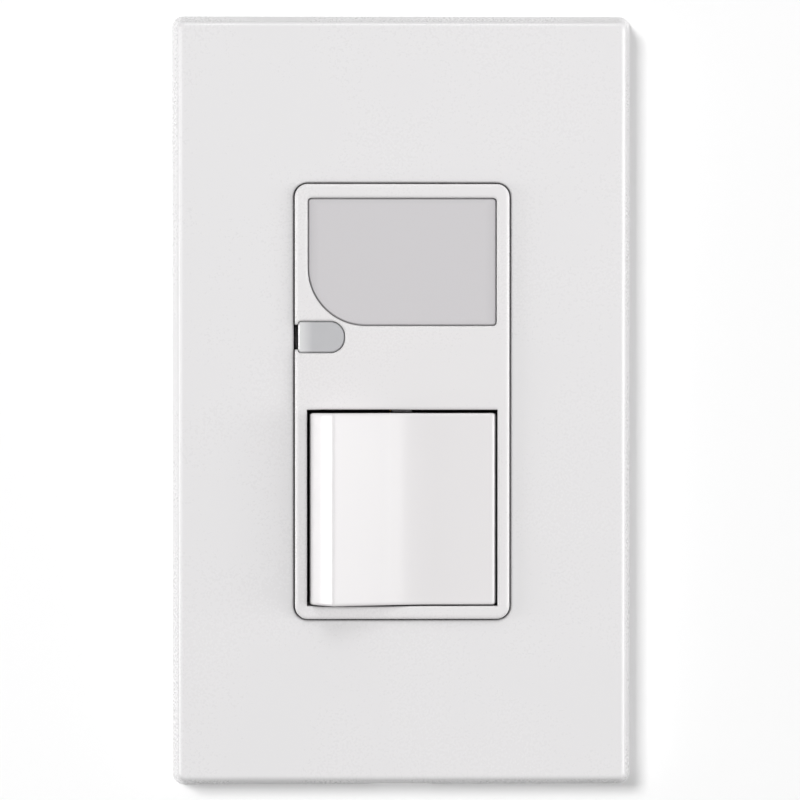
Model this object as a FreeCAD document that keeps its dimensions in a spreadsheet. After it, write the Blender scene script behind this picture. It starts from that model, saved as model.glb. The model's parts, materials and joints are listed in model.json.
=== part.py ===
import FreeCAD, Part
import math
import os
from types import SimpleNamespace

import Sketcher

# Rocker switch with a guide light above it, on a strap that screws to a wall box,
# behind a screwless wall plate. Millimetres. X to the right, Y into the wall, Z up.
# The wall's surface is the plane Y = 0, and "front" distances are measured from it
# towards the room, so a front distance of 5 is Y = -5.

SIZES = {
    "plate_width": 70.8,
    "plate_height": 118.8,
    "plate_depth": 6.5,
    "plate_wall": 2.0,
    "plate_draft": 7.0,
    "plate_corner": 1.75,
    "plate_inner_corner": 1.05,
    "plate_edge_round": 0.85,
    "plate_opening_round": 0.35,
    "opening_width": 33.25,
    "opening_height": 67.05,
    "opening_corner": 2.2,
    "collar_wall": 1.2,
    "collar_rear": 1.9,
    "hook_spread_x": 46.0,
    "hook_spread_z": 78.0,
    "hook_width": 6.0,
    "hook_thickness": 1.3,
    "hook_barb": 0.55,
    "hook_barb_root": 0.52,
    "hook_rear": 0.4,
    "hook_clearance": 0.25,
    "hook_seat_gap": 0.125,
    "pry_notch_width": 9.0,
    "pry_notch_depth": 1.1,
    "subplate_margin": 1.0,
    "subplate_thickness": 1.8,
    "subplate_rim": 1.4,
    "subplate_corner": 1.6,
    "collar_clearance": 0.5,
    "head_notch_width": 9.0,
    "head_notch_top": 46.0,
    "plate_screw_spacing": 96.8,
    "plate_screw_radius": 1.6,
    "plate_screw_length": 7.0,
    "plate_screw_head_radius": 3.0,
    "plate_screw_head_height": 1.25,
    "plate_screw_hole_clearance": 0.2,
    "device_screw_spacing": 83.3,
    "device_screw_radius": 1.75,
    "device_screw_length": 25.4,
    "device_screw_neck_radius": 1.3,
    "device_screw_neck_rear": 1.0,
    "device_screw_head_radius": 3.4,
    "device_screw_head_height": 1.9,
    "screw_slot_width": 0.9,
    "screw_slot_depth": 0.8,
    "head_edge_chamfer": 0.35,
    "screw_clearance": 0.05,
    "retainer_width": 8.0,
    "retainer_thickness": 0.8,
    "strap_thickness": 1.3,
    "strap_length": 105.0,
    "strap_end_width": 24.0,
    "strap_ear_width": 34.0,
    "strap_ear_height": 6.0,
    "strap_corner": 1.5,
    "strap_slot_length": 6.5,
    "strap_slot_corner": 1.76,
    "strap_window_clearance": 0.35,
    "strap_rail": 2.105,
    "ear_break_width": 0.8,
    "ear_break_length": 3.2,
    "device_gap_side": 0.18,
    "device_gap_end": 0.18,
    "face_proud": 0.8,
    "face_corner": 2.0,
    "face_edge_round": 0.45,
    "window_edge_round": 0.2,
    "face_wall": 2.0,
    "cover_side_wall": 1.2,
    "flange_thickness": 1.6,
    "body_width": 42.0,
    "body_height": 71.6,
    "body_depth": 34.0,
    "body_corner": 2.0,
    "body_rear_chamfer": 0.7,
    "body_wall": 2.0,
    "body_side_block": 6.0,
    "bezel_below_rocker": 2.015,
    "bezel_above_lens": 2.145,
    "bezel_side_margin": 1.845,
    "rocker_opening_height": 30.09,
    "rocker_gap_above": 0.5,
    "rocker_gap_below": 0.3,
    "rocker_swing_radius": 17.1,
    "rocker_swing_gap": 0.28,
    "rocker_crest_half_width": 12.56,
    "rocker_tilt": 8.25,
    "rocker_valley_radius": 23.0,
    "rocker_crest_round": 0.5,
    "rocker_edge_round": 0.35,
    "rocker_wall": 1.5,
    "rocker_skirt_angle": 65.5,
    "rocker_crest_inset": 0.9,
    "pivot_depth": 2.4,
    "trunnion_radius": 1.5,
    "trunnion_reach": 1.5,
    "bearing_clearance": 0.05,
    "bearing_end_gap": 0.15,
    "cavity_margin": 0.1,
    "bearing_wall": 3.3,
    "ear_half_width": 2.4,
    "ear_root_half_width": 9.0,
    "ear_drop": 2.1,
    "guide_rib_width": 3.0,
    "guide_rib_height": 0.3,
    "guide_rib_setback": 0.9,
    "hollow_wall": 1.5,
    "stem_radius": 3.0,
    "stem_bore": 1.95,
    "stem_drop": 4.0,
    "stem_bore_top": 5.0,
    "spring_mean_radius": 1.5,
    "spring_wire_radius": 0.2,
    "spring_pitch": 1.3,
    "spring_end_gap": 0.1,
    "plunger_radius": 1.85,
    "plunger_tip": 8.5,
    "plunger_length": 6.3,
    "plunger_tip_flat": 0.2,
    "arm_clearance": 0.1,
    "arm_half_length": 8.9,
    "arm_width": 6.0,
    "arm_corner": 1.2,
    "arm_front": 0.9,
    "arm_rear": 0.3,
    "saddle_half_width": 2.4,
    "saddle_height": 2.0,
    "saddle_rim": 2.7,
    "saddle_dish_radius": 2.36,
    "fulcrum_radius": 0.8,
    "fulcrum_web": 0.8,
    "contact_arm_reach": 7.3,
    "contact_radius": 1.5,
    "moving_contact_height": 0.7,
    "fixed_contact_height": 0.4,
    "contact_closed_gap": 0.35,
    "terminal_sheet": 1.2,
    "terminal_pad_height": 10.0,
    "terminal_pad_front": 3.0,
    "terminal_pad_rear": 15.2,
    "terminal_screw_depth": 9.0,
    "terminal_screw_radius": 1.75,
    "terminal_screw_head_radius": 3.6,
    "terminal_screw_head_height": 2.2,
    "terminal_screw_tail": 1.0,
    "terminal_seat": 3.6,
    "terminal_recess_margin": 0.6,
    "line_terminal_z": -24.0,
    "load_terminal_z": -8.0,
    "neutral_terminal_z": 16.0,
    "line_strip_depth": 18.6,
    "strip_sheet": 1.0,
    "clamp_width": 7.0,
    "clamp_thickness": 1.0,
    "wire_hole_radius": 1.2,
    "wire_hole_offset": 0.4,
    "wire_hole_floor": 0.8,
    "ground_clip_x": -9.0,
    "ground_clip_width": 9.0,
    "ground_clip_depth": 11.0,
    "ground_clip_gap": 1.2,
    "ground_screw_depth": 6.2,
    "ground_screw_tail": 1.0,
    "assembly_screw_inset_x": 2.4,
    "assembly_screw_inset_z": 3.2,
    "assembly_screw_radius": 1.15,
    "assembly_head_radius": 1.6,
    "assembly_head_height": 1.6,
    "assembly_head_sink": 3.0,
    "lens_width": 28.75,
    "lens_height": 19.4,
    "lens_corner_small": 0.6,
    "lens_corner_large": 8.85,
    "lens_gap": 0.1,
    "lens_recess": 0.15,
    "lens_lip": 0.6,
    "lens_lip_thickness": 1.0,
    "lens_bay_margin": 1.0,
    "sensor_left": -15.96,
    "sensor_right": -8.79,
    "sensor_centre_z": 9.9,
    "sensor_height": 4.86,
    "sensor_nose_radius": 2.3,
    "sensor_corner": 0.45,
    "sensor_fit": 0.04,
    "sensor_recess": 0.05,
    "sensor_depth": 1.95,
    "sensor_stem_radius": 1.7,
    "sensor_stem_x": -11.2,
    "sensor_notch_height": 3.82,
    "sensor_notch_depth": 4.3,
    "well_inset": 0.4,
    "well_wall": 0.9,
    "board_front_depth": 5.0,
    "board_thickness": 1.6,
    "board_half_width": 14.3,
    "board_low": 3.0,
    "board_top_margin": 2.8,
    "board_clearance": 0.3,
    "led_width": 3.5,
    "led_height": 2.8,
    "led_thickness": 1.6,
    "led_dome_radius": 1.12,
    "led_dome_height": 0.4,
    "led_spacing": 8.0,
    "photosensor_radius": 2.2,
    "photosensor_thickness": 1.3,
    "lead_radius": 0.4,
    "neutral_lead_x": -11.6,
    "neutral_strip_depth": 14.2,
    "line_leg_half_width": 1.5,
    "line_lead_z": 5.8,
    "line_leg_top": 7.0,
    "film_capacitor_left": -10.5,
    "film_capacitor_right": 2.5,
    "film_capacitor_margin": 3.0,
    "film_capacitor_height": 8.5,
    "film_capacitor_depth": 11.0,
    "electrolytic_x": 8.0,
    "electrolytic_margin": 7.5,
    "electrolytic_radius": 4.0,
    "electrolytic_length": 11.5,
    "resistor_centre_x": 4.5,
    "resistor_length": 6.5,
    "resistor_radius": 1.2,
    "resistor_low_z": 13.5,
    "resistor_high_z": 17.5,
    "rectifier_left": -9.0,
    "rectifier_right": -2.0,
    "rectifier_low": 10.0,
    "rectifier_high": 15.0,
    "rectifier_depth": 2.4,
    "transistor_x": 9.0,
    "transistor_z": 8.6,
    "transistor_radius": 2.3,
    "transistor_length": 4.6,
    "overcut": 1.0,
}

PARTS = []
TOUCH = 1e-4
NEAR = 0.1


class Size:
    """A size with the expression that ties it to the sheet, and the number it has now."""

    def __init__(self, text, number):
        self.text = text
        self.number = number

    def join(self, sign, other, number, swapped=False):
        other_text = other.text if isinstance(other, Size) else repr(float(other))
        first, second = (other_text, self.text) if swapped else (self.text, other_text)
        return Size("(%s %s %s)" % (first, sign, second), number)

    def __add__(self, other):
        return self.join("+", other, self.number + plain(other))

    def __radd__(self, other):
        return self.join("+", other, self.number + plain(other), True)

    def __sub__(self, other):
        return self.join("-", other, self.number - plain(other))

    def __rsub__(self, other):
        return self.join("-", other, plain(other) - self.number, True)

    def __mul__(self, other):
        return self.join("*", other, self.number * plain(other))

    def __rmul__(self, other):
        return self.join("*", other, self.number * plain(other), True)

    def __truediv__(self, other):
        return self.join("/", other, self.number / plain(other))

    def __neg__(self):
        return self * -1


def plain(value):
    """The number behind a size, or the number itself."""
    return value.number if isinstance(value, Size) else float(value)


def sine(angle):
    """Sine of an angle in degrees."""
    return Size("sin(%s * 1 deg)" % angle.text, math.sin(math.radians(angle.number)))


def cosine(angle):
    """Cosine of an angle in degrees."""
    return Size("cos(%s * 1 deg)" % angle.text, math.cos(math.radians(angle.number)))


def root(value):
    """Square root of a size."""
    return Size("sqrt(%s)" % value.text, math.sqrt(value.number))


def make_sheet(document):
    """Write every driving size into the sheet and return them by name."""
    sheet = document.addObject("Spreadsheet::Sheet", "Sizes")
    for row, (name, value) in enumerate(SIZES.items(), 1):
        sheet.set("A%d" % row, name)
        sheet.set("B%d" % row, repr(value))
        sheet.setAlias("B%d" % row, name)
    document.recompute()
    return SimpleNamespace(**{name: Size("Sizes." + name, value) for name, value in SIZES.items()})


DOC = FreeCAD.newDocument("GuideLightSwitch")
S = make_sheet(DOC)
ZERO = 0 * S.plate_width

# Sizes that several pieces share, worked out from the sheet
FACE_X = S.opening_width / 2 - S.device_gap_side
FACE_Z = S.opening_height / 2 - S.device_gap_end
FACE_FRONT = S.plate_depth + S.face_proud
FACE_INNER = FACE_FRONT - S.face_wall
BAY_X = FACE_X - S.bezel_side_margin
OPEN_LOW = S.bezel_below_rocker - FACE_Z
OPEN_HIGH = OPEN_LOW + S.rocker_opening_height
ROCKER_LOW = OPEN_LOW + S.rocker_gap_below
ROCKER_HIGH = OPEN_HIGH - S.rocker_gap_above
ROCKER_MID = (ROCKER_LOW + ROCKER_HIGH) / 2
WINDOW_X = S.lens_width / 2 + S.lens_gap
WINDOW_HIGH = FACE_Z - S.bezel_above_lens
WINDOW_LOW = WINDOW_HIGH - S.lens_height - 2 * S.lens_gap
BODY_X = S.body_width / 2
BODY_Z = S.body_height / 2
CAVITY_X = BODY_X - S.body_side_block
BOARD_HIGH = BODY_Z - S.board_top_margin
SUBPLATE_FRONT = S.strap_thickness + S.subplate_thickness
ARM_PIVOT_DEPTH = S.pivot_depth + S.plunger_tip + S.arm_clearance + S.saddle_height
SEAT_X = BODY_X - S.terminal_seat
PAD_INNER_X = SEAT_X - S.terminal_sheet
BOARD_REAR_DEPTH = S.board_front_depth + S.board_thickness
FIXED_FACE_DEPTH = (
    ARM_PIVOT_DEPTH
    + sine(S.rocker_tilt) * S.contact_arm_reach
    + (S.arm_rear + S.moving_contact_height) * cosine(S.rocker_tilt)
    + S.contact_closed_gap
)
LOAD_STRIP_DEPTH = FIXED_FACE_DEPTH + S.fixed_contact_height
LOAD_REAR = LOAD_STRIP_DEPTH + S.strip_sheet
LINE_REAR = S.line_strip_depth + S.strip_sheet
NEUTRAL_REAR = S.neutral_strip_depth + S.strip_sheet


def new_body(name):
    """An empty body whose label names its file."""
    body = DOC.addObject("PartDesign::Body", name)
    body.Label = name
    PARTS.append(body)
    return body


def bind(item, path, value):
    """Tie a property of an object to the sheet."""
    item.setExpression(path, value.text)


def new_sketch(body, plane, offset):
    """A sketch on one of the body's own planes, shifted along its normal."""
    sketch = body.newObject("Sketcher::SketchObject", body.Name + "_sketch")
    support = [item for item in body.Origin.OriginFeatures if item.Role == plane][0]
    sketch.AttachmentSupport = [(support, "")]
    sketch.MapMode = "FlatFace"
    bind(sketch, "AttachmentOffset.Base.z", offset)
    return sketch


def dimension(sketch, kind, *targets):
    """Add one driving dimension, the last argument being its size."""
    value = targets[-1]
    number = sketch.addConstraint(Sketcher.Constraint(kind, *targets[:-1], value.number))
    sketch.setExpression("Constraints[%d]" % number, value.text)


def place_point(sketch, geometry, end, x, y):
    """Hold one point of the sketch at a distance from its origin."""
    dimension(sketch, "DistanceX", -1, 1, geometry, end, x)
    dimension(sketch, "DistanceY", -1, 1, geometry, end, y)


def point(x, y):
    """A point of the sketch's plane."""
    return FreeCAD.Vector(plain(x), plain(y), 0)


def disc(x, y, radius):
    """Outline of a circle."""
    def draw(sketch):
        circle = Part.Circle(point(x, y), FreeCAD.Vector(0, 0, 1), radius.number)
        number = sketch.addGeometry(circle)
        place_point(sketch, number, 3, x, y)
        dimension(sketch, "Radius", number, radius)
    return draw


def polygon(*corners):
    """Outline with straight sides between corners given in order."""
    def draw(sketch):
        count = len(corners)
        lines = [Part.LineSegment(point(*corners[i]), point(*corners[(i + 1) % count]))
                 for i in range(count)]
        first = sketch.addGeometry(lines)[0]
        for i in range(count):
            sketch.addConstraint(
                Sketcher.Constraint("Coincident", first + i, 2, first + (i + 1) % count, 1))
            place_point(sketch, first + i, 1, *corners[i])
    return draw


def box(x0, x1, y0, y1):
    """Outline of a rectangle with sharp corners."""
    return polygon((x0, y0), (x1, y0), (x1, y1), (x0, y1))


def soft_box(x0, x1, y0, y1, radii):
    """Outline of a rectangle whose corners, from the lower right round to the lower left,
    have these radii."""
    radii = radii if isinstance(radii, (list, tuple)) else [radii] * 4

    def draw(sketch):
        lower, right, upper, left = 0, 1, 2, 3
        r = [plain(radius) for radius in radii]
        a, b, c, d = plain(x0), plain(x1), plain(y0), plain(y1)
        sides = [((a + r[3], c), (b - r[0], c)), ((b, c + r[0]), (b, d - r[1])),
                 ((b - r[1], d), (a + r[2], d)), ((a, d - r[2]), (a, c + r[3]))]
        centres = [(b - r[0], c + r[0]), (b - r[1], d - r[1]),
                   (a + r[2], d - r[2]), (a + r[3], c + r[3])]
        lines = [Part.LineSegment(point(*p), point(*q)) for p, q in sides]
        first = sketch.addGeometry(lines)[0]
        arcs = []
        for i, centre in enumerate(centres):
            circle = Part.Circle(point(*centre), FreeCAD.Vector(0, 0, 1), r[i])
            start = math.radians(90 * i - 90)
            arcs.append(sketch.addGeometry(Part.ArcOfCircle(circle, start, start + math.pi / 2)))
        for i in range(4):
            following = first + (i + 1) % 4
            sketch.addConstraint(Sketcher.Constraint("Tangent", first + i, 2, arcs[i], 1))
            sketch.addConstraint(Sketcher.Constraint("Tangent", arcs[i], 2, following, 1))
            dimension(sketch, "Radius", arcs[i], radii[i])
        for side, direction in ((lower, "Horizontal"), (right, "Vertical")):
            sketch.addConstraint(Sketcher.Constraint(direction, first + side))
        dimension(sketch, "DistanceY", -1, 1, first + lower, 1, y0)
        dimension(sketch, "DistanceX", -1, 1, first + right, 1, x1)
        dimension(sketch, "DistanceY", -1, 1, first + upper, 1, y1)
        dimension(sketch, "DistanceX", -1, 1, first + left, 1, x0)
    return draw


def block(body, outlines, low, high, plane="XZ_Plane", draft=None):
    """Pad outlines from one distance along the plane's normal to another."""
    sketch = new_sketch(body, plane, low)
    for draw in outlines if isinstance(outlines, list) else [outlines]:
        draw(sketch)
    pad = body.newObject("PartDesign::Pad", body.Name + "_pad")
    pad.Profile = sketch
    bind(pad, "Length", high - low)
    if draft is not None:
        bind(pad, "TaperAngle", draft)
    DOC.recompute()
    return pad


def cut(body, outlines, low, high, plane="XZ_Plane", draft=None):
    """Cut outlines away between two distances, starting from the lower one."""
    before = body.Shape.Volume
    sketch = new_sketch(body, plane, low)
    for draw in outlines if isinstance(outlines, list) else [outlines]:
        draw(sketch)
    pocket = body.newObject("PartDesign::Pocket", body.Name + "_cut")
    pocket.Profile = sketch
    pocket.Reversed = True
    bind(pocket, "Length", high - low)
    if draft is not None:
        bind(pocket, "TaperAngle", draft)
    DOC.recompute()
    if not body.Shape.Volume < before - TOUCH:
        raise RuntimeError("a cut in %s removed nothing" % body.Label)
    return pocket


def edges_where(feature, test):
    """Names of the feature's edges whose bounding box passes a test."""
    return ["Edge%d" % number for number, edge in enumerate(feature.Shape.Edges, 1)
            if test(edge.BoundBox)]


def soften(body, radius, test, kind="Fillet"):
    """Round or chamfer the edges of the body that pass a test."""
    base = body.Tip
    names = edges_where(base, test)
    if not names:
        raise RuntimeError("no edge of %s to soften" % body.Label)
    feature = body.newObject("PartDesign::" + kind, body.Name + "_" + kind.lower())
    feature.Base = (base, names)
    bind(feature, "Radius" if kind == "Fillet" else "Size", radius)
    DOC.recompute()
    return feature


def in_plane(low, high, value):
    """Whether a box's extent along one axis lies at one value."""
    return abs(low - value) < TOUCH and abs(high - value) < TOUCH


def at_front(front):
    """Test for edges that lie in the plane at this distance in front of the wall."""
    return lambda edge: in_plane(edge.YMin, edge.YMax, -front.number)


def put_on_pivot(body, depth, angle, height):
    """Place a body made about a pivot axis on that axis, turned to its position at rest."""
    body.Placement = FreeCAD.Placement(
        FreeCAD.Vector(0, 0, 0), FreeCAD.Rotation(FreeCAD.Vector(0, 0, 1), angle.number))
    bind(body, "Placement.Base.y", depth)
    bind(body, "Placement.Base.z", height)
    bind(body, "Placement.Rotation.Angle", angle)
    DOC.recompute()


def wallplate_cover():
    """Screwless wall plate: a drafted shell with a collar round the device opening and
    four barbed hooks inside."""
    body = new_body("wallplate_cover")
    half_x, half_z = S.plate_width / 2, S.plate_height / 2
    block(body, soft_box(-half_x, half_x, -half_z, half_z, S.plate_corner),
          ZERO, S.plate_depth, draft=-S.plate_draft)
    soften(body, S.plate_edge_round, at_front(S.plate_depth))
    in_x, in_z = half_x - S.plate_wall, half_z - S.plate_wall
    inner = S.plate_depth - S.plate_wall
    cut(body, soft_box(-in_x, in_x, -in_z, in_z, S.plate_inner_corner), ZERO, inner,
        draft=-S.plate_draft)
    open_x, open_z = S.opening_width / 2, S.opening_height / 2
    out_x, out_z = open_x + S.collar_wall, open_z + S.collar_wall
    block(body, soft_box(-out_x, out_x, -out_z, out_z, S.opening_corner + S.collar_wall),
          S.collar_rear, inner + S.plate_wall / 2)
    cut(body, soft_box(-open_x, open_x, -open_z, open_z, S.opening_corner),
        S.collar_rear, S.plate_depth)
    soften(body, S.plate_opening_round,
           lambda edge: at_front(S.plate_depth)(edge) and abs(edge.Center.x) < out_x.number
           and abs(edge.Center.z) < out_z.number)
    posts, barbs = [], []
    for side in (-1, 1):
        for end in (-1, 1):
            x, z = S.hook_spread_x / 2 * side, S.hook_spread_z / 2 * end
            low, high = z - S.hook_width / 2, z + S.hook_width / 2
            posts.append(box(x - S.hook_thickness / 2, x + S.hook_thickness / 2, low, high))
            edge_x = x + S.hook_thickness / 2 * side
            tip_x = edge_x + S.hook_barb * side
            root_x = edge_x - S.hook_barb_root * side
            barb_high = S.strap_thickness - S.hook_seat_gap
            barb = polygon((root_x, -S.hook_rear), (edge_x, -S.hook_rear), (tip_x, -barb_high),
                           (root_x, -barb_high))
            barbs.append((low, high, barb))
    block(body, posts, S.hook_rear, inner + S.plate_wall / 2)
    for low, high, outline in barbs:
        block(body, outline, low, high, plane="XY_Plane")
    notch_x = S.pry_notch_width / 2
    cut(body, box(-notch_x, notch_x, -half_z - S.overcut, S.plate_wall - half_z + S.overcut),
        ZERO, S.pry_notch_depth)


def wallplate_subplate():
    """Flat plate that screws to the strap and that the cover's hooks catch behind."""
    body = new_body("wallplate_subplate")
    inset = S.plate_wall + S.subplate_margin
    half_x, half_z = S.plate_width / 2 - inset, S.plate_height / 2 - inset
    block(body, soft_box(-half_x, half_x, -half_z, half_z, S.subplate_corner),
          S.strap_thickness, SUBPLATE_FRONT)
    rim_x, rim_z = half_x - S.subplate_rim, half_z - S.subplate_rim
    block(body, [soft_box(-half_x, half_x, -half_z, half_z, S.subplate_corner),
                 box(-rim_x, rim_x, -rim_z, rim_z)], ZERO, S.strap_thickness)
    clear = S.collar_wall + S.collar_clearance
    open_x, open_z = S.opening_width / 2 + clear, S.opening_height / 2 + clear
    cut(body, soft_box(-open_x, open_x, -open_z, open_z, S.opening_corner + clear),
        S.strap_thickness, SUBPLATE_FRONT)
    notch_x = S.head_notch_width / 2
    cut(body, box(-notch_x, notch_x, -S.head_notch_top, S.head_notch_top),
        S.strap_thickness, SUBPLATE_FRONT)
    holes = [disc(ZERO, S.plate_screw_spacing / 2 * end,
                  S.plate_screw_radius + S.plate_screw_hole_clearance) for end in (-1, 1)]
    cut(body, holes, S.strap_thickness, SUBPLATE_FRONT)
    slots = []
    for side in (-1, 1):
        for end in (-1, 1):
            x, z = S.hook_spread_x / 2 * side, S.hook_spread_z / 2 * end
            reach = S.hook_thickness / 2 + S.hook_clearance
            slots.append(box(x - reach, x + reach, z - S.hook_width / 2 - S.hook_clearance,
                             z + S.hook_width / 2 + S.hook_clearance))
    cut(body, slots, S.strap_thickness, SUBPLATE_FRONT)


def slotted_screws(name, places, radius, tail, under_head, head_radius, head_height):
    """A group of slotted screws along the front direction, tail first."""
    body = new_body(name)
    block(body, [disc(x, z, radius) for x, z in places], tail, under_head)
    top = under_head + head_height
    block(body, [disc(x, z, head_radius) for x, z in places], under_head, top)
    soften(body, S.head_edge_chamfer, at_front(top), kind="Chamfer")
    wide, tall = head_radius + S.overcut, S.screw_slot_width / 2
    cut(body, [box(x - wide, x + wide, z - tall, z + tall) for x, z in places],
        top - S.screw_slot_depth, top)
    return body


def fastening_screws():
    """Short screws of the sub-plate, long screws of the device, and their retainers."""
    places = [(ZERO, S.plate_screw_spacing / 2 * end) for end in (-1, 1)]
    slotted_screws("subplate_screws", places, S.plate_screw_radius,
                   SUBPLATE_FRONT - S.plate_screw_length, SUBPLATE_FRONT,
                   S.plate_screw_head_radius, S.plate_screw_head_height)
    places = [(ZERO, S.device_screw_spacing / 2 * end) for end in (-1, 1)]
    screws = slotted_screws("device_screws", places, S.device_screw_neck_radius,
                            -S.device_screw_neck_rear, S.strap_thickness,
                            S.device_screw_head_radius, S.device_screw_head_height)
    block(screws, [disc(x, z, S.device_screw_radius) for x, z in places],
          S.strap_thickness - S.device_screw_length, -S.device_screw_neck_rear)
    retainers = new_body("screw_retainers")
    half = S.retainer_width / 2
    block(retainers, [box(x - half, x + half, z - half, z + half) for x, z in places],
          -S.retainer_thickness, ZERO)
    cut(retainers, [disc(x, z, S.device_screw_neck_radius + S.screw_clearance)
                    for x, z in places], -S.retainer_thickness, ZERO)


def mounting_strap():
    """Steel strap with a window for the face and ears that bear on the wall."""
    body = new_body("mounting_strap")
    half_z, end_x = S.strap_length / 2, S.strap_end_width / 2
    front = S.strap_thickness
    clear = S.strap_window_clearance
    rail_z = FACE_Z + clear + S.strap_rail
    block(body, soft_box(-BODY_X, BODY_X, -rail_z, rail_z, S.body_corner), ZERO, front)
    block(body, soft_box(-end_x, end_x, -half_z, half_z, S.strap_corner), ZERO, front)
    ear_x = S.strap_ear_width / 2
    for end in (-1, 1):
        near, far = (half_z - S.strap_ear_height) * end, half_z * end
        low, high = (near, far) if end > 0 else (far, near)
        block(body, soft_box(-ear_x, ear_x, low, high, S.strap_corner), ZERO, front)
    cut(body, soft_box(-FACE_X - clear, FACE_X + clear, -FACE_Z - clear, FACE_Z + clear,
                       S.face_corner + clear), ZERO, front)
    slot_x = S.strap_slot_length / 2
    slot_z = S.device_screw_radius + S.screw_clearance
    slots = [soft_box(-slot_x, slot_x, S.device_screw_spacing / 2 * end - slot_z,
                      S.device_screw_spacing / 2 * end + slot_z, S.strap_slot_corner)
             for end in (-1, 1)]
    cut(body, slots, ZERO, front)
    tapped = [disc(ZERO, S.plate_screw_spacing / 2 * end, S.plate_screw_radius + S.screw_clearance)
              for end in (-1, 1)]
    tapped += assembly_holes(S.assembly_screw_radius + S.screw_clearance)
    cut(body, tapped, ZERO, front)
    breaks = []
    for side in (-1, 1):
        for end in (-1, 1):
            x = (end_x - S.strap_corner) * side
            high = half_z * end
            z0, z1 = sorted((high, high - S.ear_break_length * end), key=plain)
            breaks.append(box(x - S.ear_break_width / 2, x + S.ear_break_width / 2, z0, z1))
    cut(body, breaks, ZERO, front)


def lens_outline(grow, small=None):
    """The guide light's window, with its one large corner at the lower left."""
    small = small or S.lens_corner_small + grow
    return soft_box(-WINDOW_X - grow, WINDOW_X + grow, WINDOW_LOW - grow, WINDOW_HIGH + grow,
                    [small, small, small, S.lens_corner_large + grow])


def sensor_outline(grow):
    """The light sensor's window: square at the bezel's edge, round at its inner end."""
    low = S.sensor_centre_z - S.sensor_height / 2 - grow
    high = S.sensor_centre_z + S.sensor_height / 2 + grow
    nose, corner = S.sensor_nose_radius + grow, S.sensor_corner + grow
    return soft_box(S.sensor_left - grow, S.sensor_right + grow, low, high,
                    [nose, nose, corner, corner])


def face_cover():
    """Front cover of the device: bezel, flange, window for the light, opening for the
    rocker and the front halves of the rocker's bearings."""
    body = new_body("face_cover")
    rear = -S.flange_thickness
    block(body, soft_box(-FACE_X, FACE_X, -FACE_Z, FACE_Z, S.face_corner), rear, FACE_FRONT)
    block(body, soft_box(-BODY_X, BODY_X, -BODY_Z, BODY_Z, S.body_corner), rear, ZERO)
    soften(body, S.face_edge_round, at_front(FACE_FRONT))
    bay_x, grow = FACE_X - S.cover_side_wall, S.lens_bay_margin
    cut(body, box(-bay_x, bay_x, WINDOW_LOW - grow, WINDOW_HIGH + grow), rear, FACE_INNER)
    cut(body, lens_outline(ZERO), FACE_INNER, FACE_FRONT)
    cut(body, sensor_outline(S.sensor_fit), rear, FACE_FRONT)
    notch = S.sensor_notch_height / 2
    cut(body, box(-FACE_X - S.overcut, S.sensor_left, S.sensor_centre_z - notch,
                  S.sensor_centre_z + notch), FACE_FRONT - S.sensor_notch_depth, FACE_FRONT)
    cut(body, box(-BAY_X, BAY_X, OPEN_LOW, OPEN_HIGH), rear, FACE_FRONT)
    soften(body, S.window_edge_round,
           lambda edge: at_front(FACE_FRONT)(edge) and abs(edge.Center.x) < BAY_X.number + NEAR
           and OPEN_LOW.number - NEAR < edge.Center.z < OPEN_HIGH.number + NEAR)
    swing = S.rocker_swing_radius + S.rocker_swing_gap
    cut(body, disc(ZERO, S.pivot_depth, swing), OPEN_LOW, OPEN_HIGH, plane="XY_Plane")
    hollow_high = S.sensor_centre_z - S.sensor_height / 2 - S.hollow_wall
    cut(body, box(-bay_x, bay_x, OPEN_HIGH + S.bearing_wall, hollow_high), rear, FACE_INNER)
    cut_bearings(body)
    cut(body, assembly_holes(S.assembly_screw_radius + S.screw_clearance), rear, ZERO)
    rib_x = S.guide_rib_width / 2
    block(body, box(-rib_x, rib_x, OPEN_HIGH - S.guide_rib_height, OPEN_HIGH + S.guide_rib_height),
          ZERO, FACE_FRONT - S.guide_rib_setback)


def cut_bearings(body):
    """Seats for the rocker's two trunnions, arched in the cover and round in the body."""
    groove = S.trunnion_radius + S.bearing_clearance
    for wall, end in ((OPEN_HIGH, 1), (OPEN_LOW, -1)):
        far = wall + (S.trunnion_reach + S.bearing_end_gap) * end
        z0, z1 = sorted((wall, far), key=plain)
        cut(body, disc(ZERO, S.pivot_depth, groove), z0, z1, plane="XY_Plane")
        if body.Label == "rear_body":
            cut(body, box(-groove, groove, S.flange_thickness, S.pivot_depth), z0, z1,
                plane="XY_Plane")


def assembly_holes(radius):
    """The four places where cover, body and strap are screwed together."""
    x, z = BODY_X - S.assembly_screw_inset_x, BODY_Z - S.assembly_screw_inset_z
    return [disc(x * side, z * end, radius) for side in (-1, 1) for end in (-1, 1)]


def guide_light_lens():
    """Frosted lens, with a lip that bears on the inside of the bezel."""
    body = new_body("guide_light_lens")
    block(body, lens_outline(-S.lens_gap), FACE_INNER - S.lens_lip_thickness,
          FACE_FRONT - S.lens_recess)
    block(body, lens_outline(S.lens_lip), FACE_INNER - S.lens_lip_thickness, FACE_INNER)
    soften(body, S.window_edge_round, at_front(FACE_FRONT - S.lens_recess), kind="Chamfer")


def light_well():
    """White wall round the light sources that carries the light to the lens."""
    body = new_body("light_well")
    small = S.lens_corner_small / 2
    block(body, [lens_outline(-S.well_inset, small),
                 lens_outline(-S.well_inset - S.well_wall, small)],
          -S.board_front_depth, FACE_INNER - S.lens_lip_thickness)


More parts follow.
